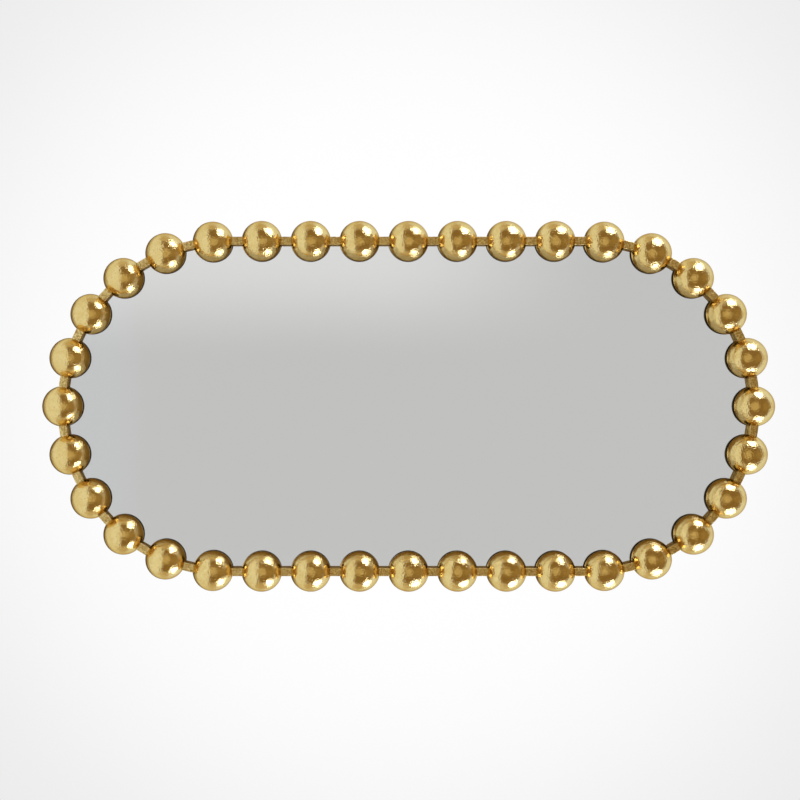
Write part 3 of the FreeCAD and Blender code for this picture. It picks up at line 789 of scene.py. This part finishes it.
print("finishes:", [item.name for item in (zinc, raw_steel, bead_inside, board_paint, foam, rubber)])

# %% [markdown]
# ## Glass and silver
# The mirror takes two plain materials. The glass is clear, with a breath of green and a few faint
# smears that only show as a little less polish. The silver behind it is a nearly perfect metal.

# %% Glass and silver materials
GLASS_CLEAR = rgb(0.985, 0.995, 0.990)
GLASS_IOR = 1.52
SILVER_DEEP = rgb(0.925, 0.925, 0.925)
SILVER_LIGHT = rgb(0.935, 0.937, 0.936)


def clear_glass():
    """Clear float glass: plain transmission, and roughness only as faint smears."""
    material, tree, shader, place = start_material("clear_glass")
    shader.inputs["Base Color"].default_value = GLASS_CLEAR
    shader.inputs["Transmission Weight"].default_value = 1.0
    shader.inputs["IOR"].default_value = GLASS_IOR
    smears = noise(tree, place, 9.0, 3.0, 0.6, 0.8)
    tree.links.new(ramp(tree, smears, 0.55, 0.80, 0.0, 0.012), shader.inputs["Roughness"])
    return material


def silvering():
    """Silver behind the glass, with the least unevenness in its tone."""
    material, tree, shader, place = start_material("silvering")
    tone = blend_colours(tree, noise(tree, place, 3.0, 1.0), SILVER_DEEP, SILVER_LIGHT)
    tree.links.new(tone, shader.inputs["Base Color"])
    shader.inputs["Metallic"].default_value = 1.0
    shader.inputs["Roughness"].default_value = 0.0
    return material


glass = clear_glass()
silver = silvering()
print("mirror materials:", glass.name, silver.name)

# %% [markdown]
# ## The beads
# Each bead is a sheet-metal ball with its back cut off flat where it meets the glass, and with two
# slots where the bar runs through. A boolean cut would leave ragged shading next to the slots. Here
# the grid itself knows about them: it is a polar grid round the front of the bead, and its columns
# bend so that four of them run exactly along the slots' edges. The faces between those columns,
# below the front of the bar, are then simply left out. On a bow the bar curves, so the slots follow
# circles about the bow's centre. Two grids do for all the beads: one for the straights and one for
# the bows.

# %% Bead grids
SLOT_PLAY = 0.1 * MM
RINGS_FRONT, RINGS_SLOT = 26, 8
SIDE_COLUMNS, SLOT_COLUMNS = 30, 6


def slot_angle(edge, reach, curvature):
    """Angle, from the bar's direction towards outside, where a slot's edge meets a ring of the bead.

    Its sine is the edge's distance from the centre line, plus half the curvature times the edge's
    square less the ring's square, all over the ring's radius.
    """
    return np.arcsin((edge + curvature * (edge ** 2 - reach ** 2) / 2) / reach)


def bead_grid(curvature):
    """Polar angles for each ring, the turn of each column on each ring, and the slots' faces left out."""
    slot_top = math.acos((BAR_FRONT + SLOT_PLAY - BEAD_MIDDLE) / BEAD_RADIUS)
    rim = math.acos((BEAD_RIM - BEAD_MIDDLE) / BEAD_RADIUS)
    front = np.linspace(0, slot_top, RINGS_FRONT + 1)[1:]
    polar = np.concatenate([front, np.linspace(slot_top, rim, RINGS_SLOT + 1)[1:]])
    reach = np.maximum(BEAD_RADIUS * np.sin(polar), BEAD_RADIUS * math.sin(slot_top))
    half = BAR_WIDTH / 2 + SLOT_PLAY
    outer, inner = slot_angle(half, reach, curvature), slot_angle(-half, reach, curvature)
    corners = np.stack([outer, np.pi - outer, np.pi - inner, 2 * np.pi + inner, 2 * np.pi + outer])
    counts = (SIDE_COLUMNS, SLOT_COLUMNS, SIDE_COLUMNS, SLOT_COLUMNS)
    turn = np.concatenate([
        corners[part] + (corners[part + 1] - corners[part]) * np.arange(count)[:, None] / count
        for part, count in enumerate(counts)
    ]).T
    in_slot = np.concatenate([np.full(count, part % 2 == 1) for part, count in enumerate(counts)])
    faces = grid_faces(len(polar), turn.shape[1], start=1)
    ring = np.repeat(np.arange(len(polar) - 1), turn.shape[1])
    faces = faces[~(np.tile(in_slot, len(polar) - 1) & (ring >= RINGS_FRONT - 1))]
    first = 1 + np.arange(turn.shape[1])
    cap = np.stack([np.zeros_like(first), np.roll(first, -1), first], axis=-1)
    return polar, turn, [tuple(face) for face in cap] + [tuple(face) for face in faces]


grids = {curvature: bead_grid(curvature) for curvature in (0.0, 1 / BEND_RADIUS)}
print("faces of a bead before its wall:", [len(faces) for _, _, faces in grids.values()])

# %% [markdown]
# ## Thirty-six of them
# A grid becomes a ball when each of its points is set out by the sine and the cosine of its angle.
# Pressed beads are never perfect balls, so each is drawn in a little, in its own slow waves, with
# random numbers that start from a fixed seed. Solidify gives the wall its 1.2 millimetres, inwards.

# %% Beads
SHEET = 1.2 * MM
WAVER_SHARE = 0.0035
WAVE_COUNTS = (2, 3, 4, 5)
WAVE_SIZES = (0.3, 1.0)


def bead_points(place, outward, polar, turn, wave):
    """A ball's front and sides: a ring reaches out by the sine of its polar angle and back by the cosine.

    The radius is drawn in by a small share that rises and falls slowly over the ball, never outwards.
    """
    polar = polar[:, None]
    waver = sum(size * np.sin(count * turn + phase) * np.sin(polar) ** count for size, count, phase in wave)
    most = sum(size for size, _, _ in wave)
    radius = BEAD_RADIUS * (1 - WAVER_SHARE * (most + waver) / (2 * most) * np.sin(polar) ** 2)
    along = np.array([outward[1], -outward[0]])
    flat = radius[..., None] * np.sin(polar)[..., None] * (
        np.cos(turn)[..., None] * along + np.sin(turn)[..., None] * outward)
    depth = BEAD_MIDDLE + radius * np.cos(polar)
    ball = np.stack([place[0] + flat[..., 0], -depth, place[1] + flat[..., 1]], axis=-1)
    pole = [place[0], -BEAD_FRONT, place[1]]
    return np.concatenate([[pole], ball.reshape(-1, 3)])


def bead_wall(piece):
    """Sheet metal: the wall grows inwards, and its inside and rim show the dark primer."""
    wall = piece.modifiers.new("wall", "SOLIDIFY")
    wall.thickness = SHEET
    wall.offset = -1
    wall.use_even_offset = True
    wall.use_rim = True
    wall.material_offset = 1
    wall.material_offset_rim = 1


chance = np.random.default_rng(36)
bead_along = np.arange(len(BEAD_NAMES)) * LAP / len(BEAD_NAMES)
bead_places, bead_outward = pill_path(bead_along)
for name, place, outward in zip(BEAD_NAMES, bead_places, bead_outward):
    on_bow = abs(place[0]) > HALF_STRAIGHT
    polar, turn, faces = grids[1 / BEND_RADIUS if on_bow else 0.0]
    wave = [(chance.uniform(*WAVE_SIZES), count, chance.uniform(0, 2 * np.pi)) for count in WAVE_COUNTS]
    points = bead_points(place, outward, polar, turn, wave)
    piece = make_piece("gilt_" + name, points, faces, [bead_gold, bead_inside], name)
    bead_wall(piece)
print("beads: %d, %.1f mm apart along the bar" % (len(BEAD_NAMES), bead_along[1] / MM))

# %% [markdown]
# ## The bar
# The bar is square tube, so its shape is one section carried along the path. The corners of drawn tube
# are never knife-sharp. Each is a quarter circle of a few steps, and the bright thin line that it
# catches is what makes the bar look solid. Outside and bore are two loops of the same number of
# points, so the ends close with one ring of faces.

# %% Square tube along the path
TUBE_WALL = 1.5 * MM
CORNER = 0.9 * MM
BORE_CORNER = 0.5 * MM
CORNER_STEPS = 4
SHARP_BAR = 50
# Each bar has its start and its end along the path, and the number of its steps.
BARS = {
    "bar_top": (-HALF_STRAIGHT, HALF_STRAIGHT, 24),
    "bar_right_bow": (HALF_STRAIGHT, HALF_STRAIGHT + BOW, 144),
    "bar_bottom": (HALF_STRAIGHT + BOW, 3 * HALF_STRAIGHT + BOW, 24),
    "bar_left_bow": (3 * HALF_STRAIGHT + BOW, 3 * HALF_STRAIGHT + 2 * BOW, 144),
}


def rounded_square(half, corner):
    """Offsets out from the line and up from the section's middle, round a square with rounded corners."""
    turn = np.linspace(0, np.pi / 2, CORNER_STEPS + 1)
    quarter = half - corner + corner * np.stack([np.cos(turn), np.sin(turn)], axis=-1)
    loops = [quarter]
    for _ in range(3):
        quarter = np.stack([-quarter[:, 1], quarter[:, 0]], axis=-1)
        loops.append(quarter)
    return np.concatenate(loops)


def tube(start, end, steps):
    """Carry the outside and the bore along the path, and close both ends between them."""
    along = np.linspace(start, end, steps + 1)[:, None]
    middle = (BAR_FRONT + BAR_BACK) / 2
    outside = rounded_square(BAR_WIDTH / 2, CORNER)
    bore = rounded_square(BAR_WIDTH / 2 - TUBE_WALL, BORE_CORNER)
    skins = [on_path(along + 0 * out, 0 * along + out, middle + up) for out, up in (outside.T, bore.T)]
    rows, count = skins[0].shape[:2]
    second = rows * count
    here = np.arange(count)
    there = np.roll(here, -1)
    end_ring = np.stack([here, there, second + there, second + here], axis=-1)
    faces = np.concatenate([
        grid_faces(rows, count), grid_faces(rows, count, start=second)[:, ::-1],
        end_ring[:, ::-1], end_ring + steps * count
    ])
    return np.concatenate(skins).reshape(-1, 3), faces


for name, (start, end, steps) in BARS.items():
    points, faces = tube(start, end, steps)
    piece = make_piece("gilt_" + name, points, faces, [bar_gold], name)
    sharpen(piece, SHARP_BAR)
print("bars:", list(BARS))

# %% [markdown]
# ## The glass
# The mirror is one sheet of clear glass, silvered on its back. That matters for the look: a thing that
# touches the front, such as the bar, stands a few millimetres away from its own reflection. So the
# piece is a real slab. Its front and edge are clear, its back faces are the silver, and light goes in
# through the front, meets the silver and comes out again. The edge has the small ground chamfer that
# every cut sheet has.

# %% Glass slab
ARRIS = 0.4 * MM
# The silver stays this far in front of the measured back, so that it doesn't lie in the tape's own plane.
SILVER_COAT = 0.05 * MM
STRAIGHT_STEPS, BOW_STEPS = 4, 96
SHARP_GLASS = 20


def pill_slab(out, back, front, chamfer):
    """Carry an edge profile round the pill and close the front and the back with one flat face each."""
    profile = [(out - chamfer, back), (out, back + chamfer), (out, front - chamfer), (out - chamfer, front)]
    stretches = [(*BARS["bar_top"][:2], STRAIGHT_STEPS), (*BARS["bar_right_bow"][:2], BOW_STEPS),
                 (*BARS["bar_bottom"][:2], STRAIGHT_STEPS), (*BARS["bar_left_bow"][:2], BOW_STEPS)]
    along = np.concatenate([np.linspace(*stretch, endpoint=False) for stretch in stretches])
    grid = np.stack([on_path(along, np.full(len(along), reach), depth) for reach, depth in profile])
    sides = grid_faces(len(profile), len(along))
    ring = np.arange(len(along))
    front_face, back_face = ring + (len(profile) - 1) * len(along), ring[::-1]
    return grid.reshape(-1, 3), [tuple(face) for face in sides] + [tuple(front_face), tuple(back_face)]


points, faces = pill_slab(GLASS_LAP, GLASS_BACK + SILVER_COAT, GLASS_FRONT, ARRIS)
mirror = make_piece("silvered_mirror", points, faces, [glass, silver], "mirror_glass")
mirror.data.polygons[len(faces) - 1].material_index = 1
sharpen(mirror, SHARP_GLASS)
print("mirror %.0f by %.0f mm" % tuple(2 * np.abs(points).max(axis=0)[[0, 2]] / MM))

# %% [markdown]
# ## What holds it on the wall
# The board, the tape, the lugs, the screws and the hangers already have their true shapes, so they
# stay as measured and only get their finishes.

# %% Finishes of the measured pieces
FINISHES = {
    "backing_board": board_paint, "mounting_tape": foam, "splice_pins": raw_steel, "retaining_lugs": zinc,
    "lug_screws": zinc, "hanger_screws": zinc, "hanger_strap_left": zinc, "hanger_strap_right": zinc,
    "hanging_ring_left": zinc, "hanging_ring_right": zinc,
}
for name, finish in FINISHES.items():
    for holder in nodes[name].material_slots:
        holder.material = finish
print("finished:", sorted(FINISHES))

# %% [markdown]
# ## Bumpers
# Four soft moulded feet keep the board off the wall. Their shape is a profile turned about its own
# axis, with a rounded lip at the wall and a shallow dish in the middle.

# %% Bumpers
BUMPER_TAPER = 1.5 * MM
BUMPER_LIP = 1.2 * MM
BUMPER_DISH = 0.6 * MM
BUMPER_TURNS = 48
PROFILE_STEPS = 7
SHARP_BUMPER = 60


def bumper_profile(base, top, height):
    """Radius and height: up the tapered side, round the lip by a quarter circle, and down into the dish."""
    turn = np.linspace(0, np.pi / 2, PROFILE_STEPS)
    reach = top - BUMPER_LIP + BUMPER_LIP * np.cos(turn)
    rise = height - BUMPER_LIP + BUMPER_LIP * np.sin(turn)
    share = np.linspace(0, 1, PROFILE_STEPS)[1:]
    inner = (top - BUMPER_LIP) * (1 - share)
    sunk = height - BUMPER_DISH * (1 - np.cos(np.pi * share)) / 2
    return np.concatenate([[[0, 0], [base, 0]], np.stack([reach, rise], -1), np.stack([inner, sunk], -1)])


def bumper(low, high):
    """Turn the profile about the box's middle axis. The first and the last point are the poles."""
    middle = (low + high) / 2
    base = (high.x - low.x) / 2
    profile = bumper_profile(base, base - BUMPER_TAPER, high.y - low.y)
    turn = np.linspace(0, 2 * np.pi, BUMPER_TURNS, endpoint=False)
    reach, rise = profile[1:-1, :1], profile[1:-1, 1:]
    grid = np.stack([middle.x + reach * np.cos(turn), low.y + rise + 0 * turn,
                     middle.z + reach * np.sin(turn)], axis=-1)
    poles = [[middle.x, low.y, middle.z], [middle.x, low.y + profile[-1, 1], middle.z]]
    count = len(reach) * BUMPER_TURNS
    here = np.arange(BUMPER_TURNS)
    there = np.roll(here, -1)
    base_fan = [(count, after, before) for before, after in zip(here, there)]
    last = here + count - BUMPER_TURNS
    top_fan = [(count + 1, before, after) for before, after in zip(last, np.roll(last, -1))]
    faces = [tuple(face) for face in grid_faces(len(reach), BUMPER_TURNS)]
    return np.concatenate([grid.reshape(-1, 3), poles]), faces + base_fan + top_fan


for name in sorted(name for name in nodes if name.startswith("bumper_")):
    points, faces = bumper(*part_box(name))
    foot = make_piece("rubber_" + name, points, faces, [rubber], name)
    sharpen(foot, SHARP_BUMPER)
print("points on a bumper:", len(points))
